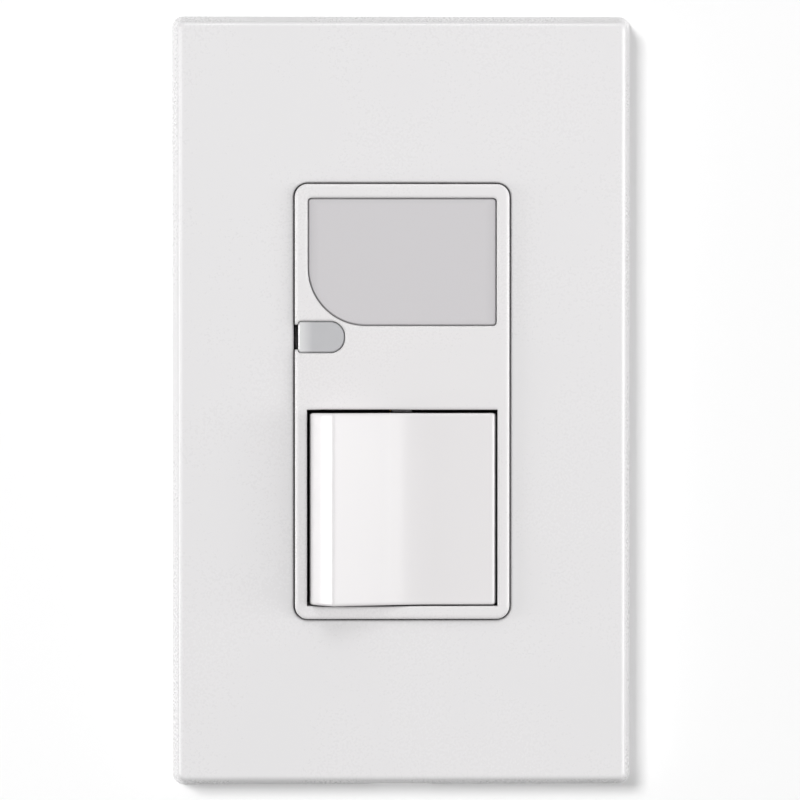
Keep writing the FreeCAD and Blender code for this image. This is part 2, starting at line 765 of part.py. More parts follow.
def sensor_window():
    """Clear smoky window over the light sensor, with a stem that pipes light to it."""
    body = new_body("sensor_window")
    front = FACE_FRONT - S.sensor_recess
    back = front - S.sensor_depth
    block(body, sensor_outline(-S.sensor_fit), back, front)
    block(body, disc(S.sensor_stem_x, S.sensor_centre_z, S.sensor_stem_radius),
          S.photosensor_thickness + S.spring_end_gap - S.board_front_depth, back)
    soften(body, S.window_edge_round, at_front(front), kind="Chamfer")


def rocker():
    """Rocker paddle: a shell with a V-dished face, end walls that follow the swing,
    two trunnions and a hollow stem for the spring."""
    body = new_body("rocker")
    crest_x = S.rocker_crest_half_width
    swing = S.rocker_swing_radius
    crest_h = root(swing * swing - crest_x * crest_x)
    skirt_x, skirt_h = swing * sine(S.rocker_skirt_angle), swing * cosine(S.rocker_skirt_angle)
    slope = sine(S.rocker_tilt) / cosine(S.rocker_tilt)
    valley_h = crest_h - crest_x * slope
    profile = rocker_profile(crest_x, crest_h, skirt_x, skirt_h, valley_h)
    block(body, profile, ROCKER_LOW, ROCKER_HIGH, plane="XY_Plane")
    wall = S.rocker_wall
    face_wall = wall / cosine(S.rocker_tilt)
    inner_x = crest_x - S.rocker_crest_inset
    inner_h = valley_h + inner_x * slope - face_wall
    past = S.overcut - skirt_h
    inner = polygon(
        (skirt_x - wall, past), (skirt_x - wall, -skirt_h), (inner_x, -inner_h),
        (ZERO, face_wall - valley_h), (-inner_x, -inner_h), (wall - skirt_x, -skirt_h),
        (wall - skirt_x, past))
    cut(body, inner, ROCKER_LOW + wall, ROCKER_HIGH - wall, plane="XY_Plane")
    round_rocker(body, crest_x, crest_h)
    ear, ear_root = S.ear_half_width, S.ear_root_half_width
    ears = polygon((-ear, S.ear_drop), (ear, S.ear_drop),
                   (ear_root, -skirt_h - wall), (-ear_root, -skirt_h - wall))
    block(body, ears, ROCKER_HIGH - wall, ROCKER_HIGH, plane="XY_Plane")
    block(body, ears, ROCKER_LOW, ROCKER_LOW + wall, plane="XY_Plane")
    reach_high = OPEN_HIGH + S.trunnion_reach
    reach_low = OPEN_LOW - S.trunnion_reach
    block(body, disc(ZERO, ZERO, S.trunnion_radius), ROCKER_HIGH - wall, reach_high,
          plane="XY_Plane")
    block(body, disc(ZERO, ZERO, S.trunnion_radius), reach_low, ROCKER_LOW + wall,
          plane="XY_Plane")
    block(body, disc(ZERO, ROCKER_MID, S.stem_radius), -S.stem_drop, valley_h - wall / 2)
    cut(body, disc(ZERO, ROCKER_MID, S.stem_bore), -S.stem_drop, S.stem_bore_top)
    put_on_pivot(body, S.pivot_depth, S.rocker_tilt, ZERO)


def rocker_profile(crest_x, crest_h, skirt_x, skirt_h, valley_h):
    """Section of the rocker across its pivot. Front is towards minus Y."""
    def draw(sketch):
        swing = plain(S.rocker_swing_radius)
        crest_turn = math.asin(crest_x.number / swing)
        skirt_turn = math.radians(S.rocker_skirt_angle.number)
        axis = FreeCAD.Vector(0, 0, 1)
        circle = Part.Circle(point(0, 0), axis, swing)
        down = -math.pi / 2
        right = sketch.addGeometry(Part.ArcOfCircle(circle, down + crest_turn, down + skirt_turn))
        left = sketch.addGeometry(Part.ArcOfCircle(circle, down - skirt_turn, down - crest_turn))
        skirt = sketch.addGeometry(Part.LineSegment(point(skirt_x, -skirt_h),
                                                    point(-skirt_x, -skirt_h)))
        valley = S.rocker_valley_radius
        half = math.radians(S.rocker_tilt.number)
        touch_x = valley.number * math.sin(half)
        touch_h = valley_h.number + touch_x * math.tan(half)
        centre_h = touch_h + valley.number * math.cos(half)
        falling = sketch.addGeometry(Part.LineSegment(point(-crest_x, -crest_h),
                                                      point(-touch_x, -touch_h)))
        bottom = Part.Circle(point(0, -centre_h), axis, valley.number)
        dip = sketch.addGeometry(Part.ArcOfCircle(bottom, -down - half, -down + half))
        rising = sketch.addGeometry(Part.LineSegment(point(touch_x, -touch_h),
                                                     point(crest_x, -crest_h)))
        join = [("Coincident", left, 2, falling, 1), ("Tangent", falling, 2, dip, 2),
                ("Tangent", dip, 1, rising, 1), ("Coincident", rising, 2, right, 1),
                ("Coincident", right, 2, skirt, 1), ("Coincident", skirt, 2, left, 1)]
        for kind, *targets in join:
            sketch.addConstraint(Sketcher.Constraint(kind, *targets))
        sketch.addConstraint(Sketcher.Constraint("Coincident", right, 3, -1, 1))
        sketch.addConstraint(Sketcher.Constraint("Coincident", left, 3, -1, 1))
        place_point(sketch, right, 1, crest_x, -crest_h)
        dimension(sketch, "DistanceX", -1, 1, left, 2, -crest_x)
        dimension(sketch, "DistanceX", -1, 1, skirt, 1, skirt_x)
        sketch.addConstraint(Sketcher.Constraint("Horizontal", skirt))
        dimension(sketch, "Radius", dip, valley)
        sketch.addConstraint(Sketcher.Constraint("PointOnObject", dip, 3, -2))
        dimension(sketch, "DistanceY", -1, 1, dip, 3,
                  -(valley_h + valley / cosine(S.rocker_tilt)))
    return draw


def round_rocker(body, crest_x, crest_h):
    """Round the two crests and the edges of the face at its top and bottom."""
    soften(body, S.rocker_crest_round,
           lambda edge: edge.ZLength > S.rocker_opening_height.number / 2
           and abs(abs(edge.Center.x) - crest_x.number) < NEAR / 2
           and abs(edge.Center.y + crest_h.number) < NEAR / 2)
    behind_face = crest_h.number / 2
    soften(body, S.rocker_edge_round,
           lambda edge: edge.YMax < -behind_face and edge.ZLength < TOUCH
           and (abs(edge.ZMin - ROCKER_LOW.number) < TOUCH
                or abs(edge.ZMin - ROCKER_HIGH.number) < TOUCH))


def hexagon(x, y, radius):
    """Outline of a regular hexagon with two corners on the level of its centre."""
    step, rise = radius / 2, radius * math.sqrt(0.75)
    return polygon((x + radius, y), (x + step, y + rise), (x - step, y + rise),
                   (x - radius, y), (x - step, y - rise), (x + step, y - rise))


def rocker_spring():
    """Coil spring in the rocker's stem, its wire given flats."""
    body = new_body("rocker_spring")
    wire = S.spring_wire_radius
    low = S.plunger_length - S.plunger_tip + wire + S.spring_end_gap
    high = S.stem_bore_top - wire - S.spring_end_gap
    sketch = new_sketch(body, "XY_Plane", ZERO)
    hexagon(S.spring_mean_radius, -high, wire)(sketch)
    coil = body.newObject("PartDesign::AdditiveHelix", "rocker_spring_coil")
    coil.Profile = sketch
    axis = [item for item in body.Origin.OriginFeatures if item.Role == "Y_Axis"][0]
    coil.ReferenceAxis = (axis, [""])
    coil.Mode = 0
    bind(coil, "Pitch", S.spring_pitch)
    bind(coil, "Height", high - low)
    put_on_pivot(body, S.pivot_depth, S.rocker_tilt, ROCKER_MID)


def spring_plunger():
    """Round-nosed plunger that the spring presses against the contact arm."""
    body = new_body("spring_plunger")
    radius, tip = S.plunger_radius, S.plunger_tip
    block(body, disc(ZERO, ZERO, radius), -tip, S.plunger_length - tip)
    soften(body, radius - S.plunger_tip_flat,
           lambda edge: in_plane(edge.YMin, edge.YMax, tip.number))
    put_on_pivot(body, S.pivot_depth, S.rocker_tilt, ROCKER_MID)


def contact_arm():
    """Brass see-saw with a dished saddle for the plunger, rocking on a round fulcrum."""
    body = new_body("contact_arm")
    reach, half = S.arm_half_length, S.arm_width / 2
    block(body, soft_box(-reach, reach, -half, half, S.arm_corner), -S.arm_rear, S.arm_front)
    saddle = S.saddle_half_width
    block(body, box(-saddle, saddle, -half, half), S.arm_front / 2, S.saddle_rim)
    dish = S.saddle_dish_radius
    cut(body, disc(ZERO, -S.saddle_height - dish, dish), -half, half, plane="XY_Plane")
    cut(body, disc(ZERO, ZERO, S.fulcrum_radius + S.bearing_clearance), -half, half,
        plane="XY_Plane")
    put_on_pivot(body, ARM_PIVOT_DEPTH, -S.rocker_tilt, ROCKER_MID)


def contacts():
    """Silver buttons: one on the arm, one on the load terminal."""
    moving = new_body("moving_contact")
    block(moving, disc(S.contact_arm_reach, ZERO, S.contact_radius),
          -S.arm_rear - S.moving_contact_height, -S.arm_rear)
    put_on_pivot(moving, ARM_PIVOT_DEPTH, -S.rocker_tilt, ROCKER_MID)
    fixed = new_body("fixed_contact")
    block(fixed, disc(S.contact_arm_reach * cosine(S.rocker_tilt), ROCKER_MID, S.contact_radius),
          -LOAD_STRIP_DEPTH, -FIXED_FACE_DEPTH)


def terminal_pad(body, z, side, rear):
    """The part of a terminal that sits in the body's side, with its tapped hole."""
    half = S.terminal_pad_height / 2
    pad = box(S.terminal_pad_front, rear, z - half, z + half)
    x0, x1 = sorted((PAD_INNER_X * side, SEAT_X * side), key=plain)
    block(body, pad, x0, x1, plane="YZ_Plane")
    cut(body, disc(S.terminal_screw_depth, z, S.terminal_screw_radius + S.screw_clearance),
        x0, x1, plane="YZ_Plane")


def line_terminal():
    """Line terminal: side pad, strip, leg to the board and the fulcrum of the see-saw."""
    body = new_body("line_terminal")
    half = S.arm_width / 2
    low, high = ROCKER_MID - half, ROCKER_MID + half
    terminal_pad(body, S.line_terminal_z, 1, LINE_REAR)
    near, far = -LINE_REAR, -S.line_strip_depth
    web = S.fulcrum_web / 2
    corner_x = SEAT_X - S.terminal_pad_height / 2
    block(body, box(corner_x, SEAT_X, S.line_terminal_z - half, high), near, far)
    block(body, box(-S.line_leg_half_width, corner_x, low, high), near, far)
    block(body, box(-S.line_leg_half_width, S.line_leg_half_width, high, S.line_leg_top),
          near, far)
    block(body, box(-web, web, ARM_PIVOT_DEPTH, S.line_strip_depth), low, high,
          plane="XY_Plane")
    block(body, disc(ZERO, ARM_PIVOT_DEPTH, S.fulcrum_radius), low, high, plane="XY_Plane")


def load_terminal():
    """Load terminal: side pad and the strip that carries the fixed contact."""
    body = new_body("load_terminal")
    half = S.arm_width / 2
    terminal_pad(body, S.load_terminal_z, 1, LOAD_REAR)
    near, far = -LOAD_REAR, -LOAD_STRIP_DEPTH
    reach, top = S.contact_arm_reach, S.load_terminal_z + half
    block(body, box(reach, SEAT_X, S.load_terminal_z - half, top), near, far)
    block(body, box(reach - half, reach + half, ROCKER_MID - half, top), near, far)


def neutral_terminal():
    """Neutral terminal: side pad and the tongue that meets the board's lead."""
    body = new_body("neutral_terminal")
    terminal_pad(body, S.neutral_terminal_z, -1, NEUTRAL_REAR)
    reach = S.neutral_lead_x + S.lead_radius * 2
    half = S.arm_width / 2
    block(body, box(-SEAT_X, reach, S.neutral_terminal_z - half, S.neutral_terminal_z + half),
          -NEUTRAL_REAR, -S.neutral_strip_depth)


def side_screws(name, places, radius, head_radius, tail_x):
    """Terminal screws that go in from the body's side."""
    body = new_body(name)
    depth = S.terminal_screw_depth
    head_x = SEAT_X + S.clamp_thickness
    for z, side in places:
        x0, x1 = sorted((tail_x * side, head_x * side), key=plain)
        block(body, disc(depth, z, radius), x0, x1, plane="YZ_Plane")
        top_x = (head_x + S.terminal_screw_head_height) * side
        x0, x1 = sorted((head_x * side, top_x), key=plain)
        block(body, disc(depth, z, head_radius), x0, x1, plane="YZ_Plane")
        soften(body, S.head_edge_chamfer,
               lambda edge: in_plane(edge.XMin, edge.XMax, top_x.number)
               and abs(edge.Center.z - z.number) < head_radius.number, kind="Chamfer")
        slot = S.screw_slot_width / 2
        x0, x1 = sorted((top_x - S.screw_slot_depth * side, top_x), key=plain)
        wide = head_radius + S.overcut
        cut(body, box(depth - wide, depth + wide, z - slot, z + slot), x0, x1, plane="YZ_Plane")


def terminal_hardware():
    """Terminal screws and the square clamp plates under their heads."""
    tail_x = PAD_INNER_X - S.terminal_screw_tail
    hot = [(S.line_terminal_z, 1), (S.load_terminal_z, 1)]
    cold = [(S.neutral_terminal_z, -1)]
    side_screws("hot_screws", hot, S.terminal_screw_radius, S.terminal_screw_head_radius, tail_x)
    side_screws("neutral_screw", cold, S.terminal_screw_radius, S.terminal_screw_head_radius,
                tail_x)
    clamps = new_body("wire_clamps")
    half, depth = S.clamp_width / 2, S.terminal_screw_depth
    for z, side in hot + cold:
        x0, x1 = sorted((SEAT_X * side, (SEAT_X + S.clamp_thickness) * side), key=plain)
        block(clamps, box(depth - half, depth + half, z - half, z + half), x0, x1,
              plane="YZ_Plane")
        cut(clamps, disc(depth, z, S.terminal_screw_radius + S.screw_clearance), x0, x1,
            plane="YZ_Plane")


def ground_parts():
    """Clip under the strap's lower end, with its green screw."""
    clip = new_body("ground_clip")
    half = S.ground_clip_width / 2
    x0, x1 = S.ground_clip_x - half, S.ground_clip_x + half
    top = -BODY_Z - S.ground_clip_gap
    block(clip, box(x0, x1, top - S.terminal_sheet, top), -S.ground_clip_depth, ZERO)
    hole = disc(S.ground_clip_x, S.ground_screw_depth,
                S.terminal_screw_radius + S.screw_clearance)
    cut(clip, hole, top - S.terminal_sheet, top, plane="XY_Plane")
    screw = new_body("ground_screw")
    under = top - S.terminal_sheet
    crown = under - S.terminal_screw_head_height
    centre = (S.ground_clip_x, S.ground_screw_depth)
    block(screw, disc(*centre, S.terminal_screw_radius), under, top + S.ground_screw_tail,
          plane="XY_Plane")
    block(screw, disc(*centre, S.terminal_screw_head_radius), crown, under, plane="XY_Plane")
    soften(screw, S.head_edge_chamfer,
           lambda edge: in_plane(edge.ZMin, edge.ZMax, crown.number), kind="Chamfer")
    slot, wide = S.screw_slot_width / 2, S.terminal_screw_head_radius + S.overcut
    cut(screw, box(centre[0] - wide, centre[0] + wide, centre[1] - slot, centre[1] + slot),
        crown, crown + S.screw_slot_depth, plane="XY_Plane")


def rear_body():
    """Deep housing behind the strap, with side recesses for the terminals."""
    body = new_body("rear_body")
    near, far = -S.flange_thickness, -S.body_depth
    block(body, soft_box(-BODY_X, BODY_X, -BODY_Z, BODY_Z, S.body_corner), far, near)
    soften(body, S.body_rear_chamfer, at_front(far), kind="Chamfer")
    margin = S.cavity_margin
    cut(body, box(-CAVITY_X, CAVITY_X, OPEN_LOW - margin, OPEN_HIGH + margin),
        far + S.body_wall, near)
    fit = S.board_clearance
    board_x = S.board_half_width + fit
    cut(body, box(-board_x, board_x, S.board_low - fit, BOARD_HIGH + fit),
        -BOARD_REAR_DEPTH, near)
    ledge = S.body_wall
    cut(body, box(ledge - board_x, board_x - ledge, S.board_low + ledge, BOARD_HIGH - ledge),
        far + S.body_wall, -BOARD_REAR_DEPTH)
    cut_bearings(body)
    terminal_recess(body, S.line_terminal_z, 1, LINE_REAR)
    terminal_recess(body, S.load_terminal_z, 1, LOAD_REAR)
    terminal_recess(body, S.neutral_terminal_z, -1, NEUTRAL_REAR)
    open_strip_slots(body)
    cut(body, assembly_holes(S.assembly_screw_radius + S.screw_clearance), far, near)
    cut(body, assembly_holes(S.assembly_head_radius + S.screw_clearance), far,
        far + S.assembly_head_sink)
    recess_rear = S.terminal_pad_rear + S.terminal_recess_margin
    for z, side, end in ((S.line_terminal_z, 1, LINE_REAR), (S.load_terminal_z, 1, LOAD_REAR),
                         (S.neutral_terminal_z, -1, recess_rear)):
        hole = disc((SEAT_X + S.wire_hole_offset) * side, z, S.wire_hole_radius)
        cut(body, hole, far, -end - S.wire_hole_floor)


def terminal_recess(body, z, side, rear):
    """Pocket in the body's side for one terminal pad and its screw."""
    margin = S.terminal_recess_margin
    half = S.terminal_pad_height / 2 + margin
    outline = box(S.terminal_pad_front - margin, S.terminal_pad_rear + margin, z - half, z + half)
    x0, x1 = sorted((SEAT_X * side, (BODY_X + S.overcut) * side), key=plain)
    cut(body, outline, x0, x1, plane="YZ_Plane")
    fit = S.screw_clearance
    half = S.terminal_pad_height / 2 + fit
    outline = box(S.terminal_pad_front - fit, rear + fit, z - half, z + half)
    x0, x1 = sorted((PAD_INNER_X * side, SEAT_X * side), key=plain)
    cut(body, outline, x0, x1, plane="YZ_Plane")
    tail = S.terminal_screw_tail + fit
    x0, x1 = sorted(((PAD_INNER_X - tail) * side, PAD_INNER_X * side), key=plain)
    cut(body, disc(S.terminal_screw_depth, z, S.terminal_screw_radius + fit), x0, x1,
        plane="YZ_Plane")


def open_strip_slots(body):
    """Slots for the terminals' strips through the walls of the two compartments."""
    fit, half = S.screw_clearance, S.arm_width / 2
    load_z, line_z, neutral_z = S.load_terminal_z, S.line_terminal_z, S.neutral_terminal_z
    inside = CAVITY_X - S.overcut
    cut(body, box(inside, SEAT_X, load_z - half - fit, load_z + half + fit),
        -LOAD_REAR - fit, fit - LOAD_STRIP_DEPTH)
    cut(body, box(inside, SEAT_X, line_z - half - fit, ROCKER_MID + half + fit),
        -LINE_REAR - fit, fit - S.line_strip_depth)
    leg = S.line_leg_half_width + fit
    cut(body, box(-leg, leg, OPEN_HIGH, S.line_leg_top + fit),
        -LINE_REAR - fit, fit - S.line_strip_depth)
    cut(body, box(-SEAT_X, -S.board_half_width + S.body_wall, neutral_z - half - fit,
                  neutral_z + half + fit), -NEUTRAL_REAR - fit, fit - S.neutral_strip_depth)


def assembly_screws():
    """Four long screws from the rear through body and cover into the strap."""
    body = new_body("assembly_screws")
    seat = S.assembly_head_sink - S.body_depth
    crown = seat - S.assembly_head_height
    block(body, assembly_holes(S.assembly_screw_radius), seat, S.strap_thickness)
    block(body, assembly_holes(S.assembly_head_radius), crown, seat)


def led_board():
    """Circuit board of the guide light, on a ledge of the body."""
    body = new_body("led_board")
    half = S.board_half_width
    block(body, box(-half, half, S.board_low, BOARD_HIGH), -BOARD_REAR_DEPTH,
          -S.board_front_depth)


def board_parts():
    """What the board carries: light sources and sensor in front, the supply behind."""
    front = -S.board_front_depth
    middle = (WINDOW_LOW + WINDOW_HIGH) / 2
    leds = new_body("guide_leds")
    half_x, half_z = S.led_width / 2, S.led_height / 2
    places = [(S.led_spacing * step, middle) for step in (-1, 0, 1)]
    block(leds, [box(x - half_x, x + half_x, z - half_z, z + half_z) for x, z in places],
          front, front + S.led_thickness)
    block(leds, [disc(x, z, S.led_dome_radius) for x, z in places], front + S.led_thickness,
          front + S.led_thickness + S.led_dome_height)
    sensor = new_body("photosensor")
    block(sensor, disc(S.sensor_stem_x, S.sensor_centre_z, S.photosensor_radius), front,
          front + S.photosensor_thickness)


def supply_parts():
    """The small low-voltage supply on the board's rear, and its two leads."""
    seat = -BOARD_REAR_DEPTH
    film = new_body("film_capacitor")
    film_high = BOARD_HIGH - S.film_capacitor_margin
    block(film, box(S.film_capacitor_left, S.film_capacitor_right,
                    film_high - S.film_capacitor_height, film_high),
          seat - S.film_capacitor_depth, seat)
    can = new_body("electrolytic_capacitor")
    block(can, disc(S.electrolytic_x, BOARD_HIGH - S.electrolytic_margin, S.electrolytic_radius),
          seat - S.electrolytic_length, seat)
    resistors = new_body("resistors")
    half = S.resistor_length / 2
    axis_depth = BOARD_REAR_DEPTH + S.resistor_radius
    block(resistors, [disc(axis_depth, S.resistor_low_z, S.resistor_radius),
                      disc(axis_depth, S.resistor_high_z, S.resistor_radius)],
          S.resistor_centre_x - half, S.resistor_centre_x + half, plane="YZ_Plane")
    rectifier = new_body("bridge_rectifier")
    block(rectifier, box(S.rectifier_left, S.rectifier_right, S.rectifier_low,
                         S.rectifier_high), seat - S.rectifier_depth, seat)
    transistor = new_body("transistor")
    block(transistor, disc(S.transistor_x, S.transistor_z, S.transistor_radius),
          seat - S.transistor_length, seat)
    leads = new_body("board_leads")
    block(leads, disc(S.neutral_lead_x, S.neutral_terminal_z, S.lead_radius),
          -S.neutral_strip_depth, seat)
    block(leads, disc(ZERO, S.line_lead_z, S.lead_radius), -S.line_strip_depth, seat)


def build():
    """Make every piece, check it and write its file."""
    wallplate_cover()
    wallplate_subplate()
    fastening_screws()
    mounting_strap()
    face_cover()
    guide_light_lens()
    light_well()
    sensor_window()
    rocker()
    rocker_spring()
    spring_plunger()
    contact_arm()
    contacts()
    line_terminal()
    load_terminal()
    neutral_terminal()
    terminal_hardware()
    ground_parts()
    rear_body()
    assembly_screws()
    led_board()
    board_parts()
    supply_parts()
    DOC.recompute()
    check()
    os.makedirs("parts", exist_ok=True)
    for part in PARTS:
        part.Shape.exportStep("parts/%s.step" % part.Label)
        print(part.Label, len(part.Shape.Solids), "solids,", round(part.Shape.Volume, 1), "mm3")


def check():
    """Stop on any failed object, and on any piece that is empty or not valid."""
    for item in DOC.Objects:
        if "Invalid" in item.State or "Error" in item.State:
            raise RuntimeError("failed object: " + item.Label)
    for part in PARTS:
        if part.Shape.isNull() or not part.Shape.isValid() or not part.Shape.Solids:
            raise RuntimeError("bad shape: " + part.Label)


build()
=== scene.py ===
"""Looks of a wall rocker switch with a guide light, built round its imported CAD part.

Lengths are metres in the part's own frame: X to the right, Y into the wall, Z up, with
the wall's surface at Y = 0. Patterns in the materials read the same place in millimetres.
Sections follow the order in which the switch is put together, from the housing in the
wall box out to the plate in the room, and then the wall, the light and the camera.
"""

import json
import math

import bpy
import numpy as np
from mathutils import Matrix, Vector


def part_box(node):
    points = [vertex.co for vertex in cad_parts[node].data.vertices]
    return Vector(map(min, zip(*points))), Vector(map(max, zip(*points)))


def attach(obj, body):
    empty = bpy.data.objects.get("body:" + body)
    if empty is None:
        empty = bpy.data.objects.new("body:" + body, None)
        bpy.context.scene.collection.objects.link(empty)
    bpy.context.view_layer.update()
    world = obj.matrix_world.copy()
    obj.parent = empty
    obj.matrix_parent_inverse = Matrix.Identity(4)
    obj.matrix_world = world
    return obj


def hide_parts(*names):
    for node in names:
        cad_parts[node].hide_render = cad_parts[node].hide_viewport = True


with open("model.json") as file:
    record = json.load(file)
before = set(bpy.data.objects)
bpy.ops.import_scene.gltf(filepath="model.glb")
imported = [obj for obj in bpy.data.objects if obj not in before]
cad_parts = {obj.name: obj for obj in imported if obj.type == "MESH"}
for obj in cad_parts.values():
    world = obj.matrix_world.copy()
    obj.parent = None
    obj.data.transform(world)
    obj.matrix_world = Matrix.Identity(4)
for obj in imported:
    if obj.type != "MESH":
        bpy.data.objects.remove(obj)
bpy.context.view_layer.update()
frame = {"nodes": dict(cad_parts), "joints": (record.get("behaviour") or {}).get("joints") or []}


# Housing in the wall box, moulded in dark grey thermoplastic with a matt, slightly grained
# skin. Its front rim bears on the face cover, and four long screws hold the two together.


class Wire:
    """An output socket of a shader node. Arithmetic on it adds Math nodes beside it, and
    `node` adds any other node that reads it."""

    def __init__(self, socket):
        self.socket = socket

    def node(self, kind, inputs, output=0, **settings):
        """Add a node, fill the inputs named or numbered in a dict, and return one output."""
        made = self.socket.id_data.nodes.new(kind)
        for name, value in settings.items():
            setattr(made, name, value)
        for name, value in inputs.items():
            connect(value, made.inputs[name])
        return Wire(made.outputs[output])

    def math(self, operation, first, second=0.0, third=0.0):
        return self.node("ShaderNodeMath", {0: first, 1: second, 2: third}, operation=operation)

    def __add__(self, other):
        return self.math("ADD", self, other)

    def __radd__(self, other):
        return self.math("ADD", other, self)

    def __sub__(self, other):
        return self.math("SUBTRACT", self, other)

    def __rsub__(self, other):
        return self.math("SUBTRACT", other, self)

    def __mul__(self, other):
        return self.math("MULTIPLY", self, other)

    def __rmul__(self, other):
        return self.math("MULTIPLY", other, self)

    def __truediv__(self, other):
        return self.math("DIVIDE", self, other)

    def __rtruediv__(self, other):
        return self.math("DIVIDE", other, self)

    def __abs__(self):
        return self.math("ABSOLUTE", self)


def connect(value, target):
    """Link a wire to an input socket, or write a plain value into it."""
    if isinstance(value, Wire):
        target.id_data.links.new(value.socket, target)
    else:
        target.default_value = value


class Finish:
    """A material with one Principled shader. Constants go on the shader's own sockets;
    `point` is the place on the part in millimetres."""

    def __init__(self, name, **constants):
        self.material = bpy.data.materials.new(name)
        self.material.use_nodes = True
        tree = self.material.node_tree
        self.shader = tree.nodes["Principled BSDF"]
        for socket, value in constants.items():
            self.shader.inputs[socket.replace("_", " ")].default_value = value
        place = Wire(tree.nodes.new("ShaderNodeTexCoord").outputs["Object"])
        self.point = place.node("ShaderNodeVectorMath", {0: place, "Scale": 1000.0},
                                operation="SCALE")

    def colour(self, value):
        connect(value, self.shader.inputs["Base Color"])

    def rough(self, value):
        connect(value, self.shader.inputs["Roughness"])

    def relief(self, height, depth, strength=1.0, onto=None):
        """Bump the surface by a height whose 1 stands for `depth` metres, on top of the
        shape `onto`, and return the result."""
        inputs = {"Height": height, "Distance": depth, "Strength": strength}
        if onto is not None:
            inputs["Normal"] = onto
        bump = height.node("ShaderNodeBump", inputs)
        connect(bump, self.shader.inputs["Normal"])
        return bump

    def rounded(self, radius):
        """The surface with its sharp edges rounded off by a radius in metres."""
        return self.point.node("ShaderNodeBevel", {"Radius": radius}, samples=6)

    def open_air(self, reach, shut=0.2, free=0.7):
        """How freely a spot sees its surroundings within `reach` metres: 0 where it sees
        only the share `shut` of them, 1 where it sees the share `free`."""
        seen = self.point.node("ShaderNodeAmbientOcclusion", {"Distance": reach}, output=1,
                               samples=6)
        return seen.node("ShaderNodeMapRange", {0: seen, 1: shut, 2: free}, clamp=True)

    def axis(self, name):
        """One coordinate of the point, X, Y or Z, in millimetres."""
        return self.point.node("ShaderNodeSeparateXYZ", {0: self.point}, output="XYZ".index(name))

    def noise(self, size, detail=2.0, stretch=(1.0, 1.0, 1.0)):
        """Noise around 0.5 whose grains are `size` millimetres wide, times a stretch."""
        scaled = self.point.node("ShaderNodeVectorMath", {0: self.point, 1: stretch},
                                 operation="DIVIDE")
        return scaled.node("ShaderNodeTexNoise",
                           {"Vector": scaled, "Scale": 1.0 / size, "Detail": detail})

    def blend(self, factor, first, second):
        """A colour between two, by a factor from 0 to 1."""
        return factor.node("ShaderNodeMix", {0: factor, 6: first, 7: second}, output=2,
                           data_type="RGBA")

    def dress(self, *names):
        """Give the material to CAD nodes."""
        for name in names:
            mesh = frame["nodes"][name].data
            mesh.materials.clear()
            mesh.materials.append(self.material)


def colour(red, green, blue):
    """A linear colour for a socket."""
    return (red, green, blue, 1.0)


def darker(base, share):
    """The same colour with only a share of its light."""
    return colour(*[share * part for part in base[:3]])


def moulded(name, base, rough, grain=0.35, depth=0.000012, edge=None, gap_shade=None):
    """Injection-moulded plastic: a grain `depth` metres deep from the mould, a slow
    waviness where it shrank, and a gloss that differs a little from place to place. With
    `edge`, its edges are rounded off by that many metres. With a gap shade share, a
    painted shade leaves only that share of the colour deep in narrow gaps. What is laid
    over it later finds its bumped shape as `skin` and its colour as `clean`."""
    wave, narrow = 14.0, 0.0012
    finish = Finish(name, IOR=1.49)
    fine = finish.noise(grain, detail=3.0)
    slow = finish.noise(wave)
    shape = finish.rounded(edge) if edge else None
    finish.skin = finish.relief(fine * 0.75 + slow * 0.25, depth, 0.35, shape)
    finish.rough(rough + (fine - 0.5) * 0.06 + (slow - 0.5) * 0.05)
    finish.clean = finish.blend(slow, base, darker(base, 0.985))
    # Painted shade: deep in narrow gaps the colour darkens, where little light reaches.
    if gap_shade:
        finish.clean = finish.blend(finish.open_air(narrow), darker(base, gap_shade), finish.clean)
    finish.colour(finish.clean)
    return finish


housing = moulded("housing_grey", colour(0.085, 0.086, 0.09), 0.5, grain=0.6)
housing.dress("rear_body")

# Strap, pressed from galvanised steel 1.3 mm thick, with the ears that bear on the wall.
# The ground clip is of thinner sheet and stands back from it, under the housing.
spangles_per_mm, roll_mark, roll_depth = 0.45, 0.18, 0.000008
strap = Finish("galvanised_sheet", Metallic=1.0)
spangle = strap.point.node("ShaderNodeTexVoronoi",
                           {"Vector": strap.point, "Scale": spangles_per_mm}, output="Color")
flake = spangle.node("ShaderNodeSeparateColor", {0: spangle})
rolled = strap.noise(roll_mark, detail=3.0, stretch=(1.0, 1.0, 14.0))
strap.relief(rolled, roll_depth, 0.35)
strap.rough(0.3 + flake * 0.16 + (rolled - 0.5) * 0.12)
strap.colour(strap.blend(flake, colour(0.56, 0.57, 0.58), colour(0.44, 0.45, 0.47)))
strap.dress("mounting_strap", "ground_clip")

# Terminals of stamped brass: line with the fulcrum of the see-saw, load with the fixed
# contact, neutral for the light. They slide into pockets of the housing from its sides.
# The see-saw arm is of the same sheet and rocks loose on the fulcrum.


def plated(name, base, rough, streak):
    """Rolled or drawn metal: brushed along `streak`, with a mottled plating."""
    scratch_width, scratch_depth, blotch = 0.16, 0.00001, 2.2
    finish = Finish(name, Metallic=1.0)
    brushed = finish.noise(scratch_width, detail=3.0, stretch=streak)
    mottle = finish.noise(blotch, detail=4.0)
    finish.relief(brushed, scratch_depth, 0.4)
    finish.rough(rough + (brushed - 0.5) * 0.2 + (mottle - 0.5) * 0.18)
    finish.colour(finish.blend(mottle, base, darker(base, 0.8)))
    return finish


terminal_brass = plated("stamped_brass", colour(0.66, 0.47, 0.2), 0.28, (1.0, 1.0, 10.0))
terminal_brass.dress("line_terminal", "load_terminal", "neutral_terminal", "contact_arm")

# Contact buttons of silver alloy, one riveted to the see-saw arm and one to the load
# terminal. They are turned and headed, and a little dull from switching.
button_silver = plated("contact_silver", colour(0.8, 0.79, 0.77), 0.22, (3.0, 3.0, 3.0))
button_silver.dress("moving_contact", "fixed_contact")

